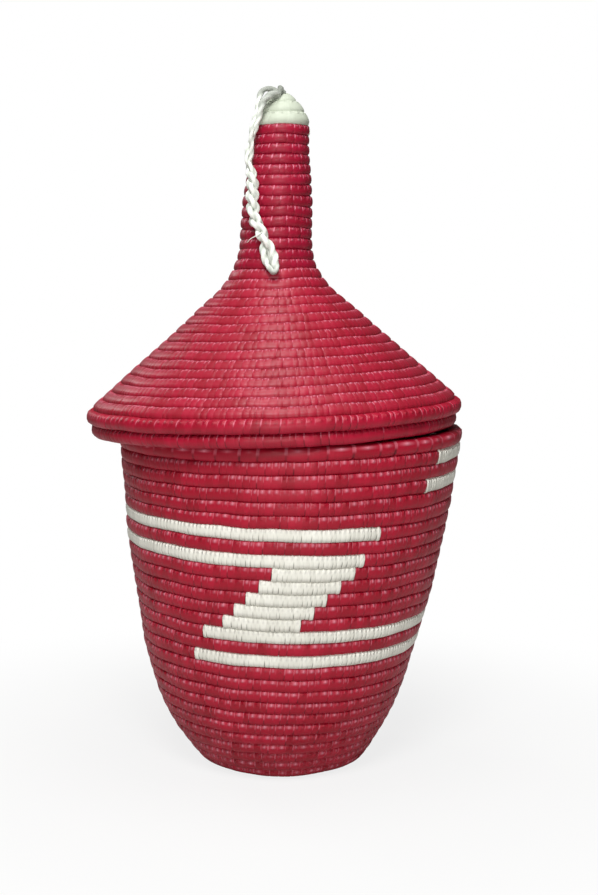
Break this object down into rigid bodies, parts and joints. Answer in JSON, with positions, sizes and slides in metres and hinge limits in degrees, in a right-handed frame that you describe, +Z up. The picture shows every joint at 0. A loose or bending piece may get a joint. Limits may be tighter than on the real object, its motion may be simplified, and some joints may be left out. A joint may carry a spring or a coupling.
{
  "type": "lidded coiled basket",
  "caption": "Lidded coiled basket with a rounded body, a peaked cone lid, zigzag stripes and a corded hanging loop.",
  "frame": {"origin": "on the floor plane below the middle of the lid's rim", "axes": "+Z up along the basket's height; -Y is the front with the zigzag; +X is the viewer's right"},
  "size_m": [0.182, 0.1819, 0.3299],
  "materials": {
    "red_sisal": "satin dyed sisal wrapped over grass",
    "white_sisal": "natural sisal wrapped over grass",
    "cord_sisal": "twisted natural sisal cord"
  },
  "bodies": {
    "basket": {"back_white_bottom_bar_row_10": "white_sisal", "back_white_bottom_bar_row_12": "white_sisal", "back_white_step_row_05": "white_sisal", "back_white_step_row_06": "white_sisal", "back_white_step_row_07": "white_sisal", "back_white_step_row_08": "white_sisal", "back_white_step_row_09": "white_sisal", "back_white_top_bar_row_02": "white_sisal", "back_white_top_bar_row_04": "white_sisal", "base_coil": "red_sisal", "base_start_coil": "red_sisal", "basket_rim_coil": "red_sisal", "front_white_bottom_bar_row_15": "white_sisal", "front_white_bottom_bar_row_17": "white_sisal", "front_white_step_row_10": "white_sisal", "front_white_step_row_11": "white_sisal", "front_white_step_row_12": "white_sisal", "front_white_step_row_13": "white_sisal", "front_white_step_row_14": "white_sisal", "front_white_top_bar_row_07": "white_sisal", "front_white_top_bar_row_09": "white_sisal", "red_wall_run_01": "red_sisal", "red_wall_run_02": "red_sisal", "red_wall_run_03": "red_sisal", "red_wall_run_04": "red_sisal", "red_wall_run_05": "red_sisal", "red_wall_run_06": "red_sisal", "red_wall_run_07": "red_sisal", "red_wall_run_08": "red_sisal", "red_wall_run_09": "red_sisal", "red_wall_run_10": "red_sisal", "red_wall_run_11": "red_sisal", "red_wall_run_12": "red_sisal", "red_wall_run_13": "red_sisal", "red_wall_run_14": "red_sisal", "red_wall_run_15": "red_sisal", "red_wall_run_16": "red_sisal", "red_wall_run_17": "red_sisal", "red_wall_run_18": "red_sisal", "red_wall_run_19": "red_sisal"},
    "lid": {"lid_cone_coil": "red_sisal", "lid_flange_coil": "red_sisal", "lid_lip_coil": "red_sisal", "lid_neck_coil": "red_sisal", "lid_rim_coil": "red_sisal", "lid_tip_coil": "white_sisal", "cord_knot": "cord_sisal", "hanging_loop": "cord_sisal"}
  },
  "joints": [
    {"name": "lid_lift", "type": "slide", "parent": "basket", "child": "lid", "axis": [0, 0, 1], "range_m": [0, 0.15]}
  ]
}
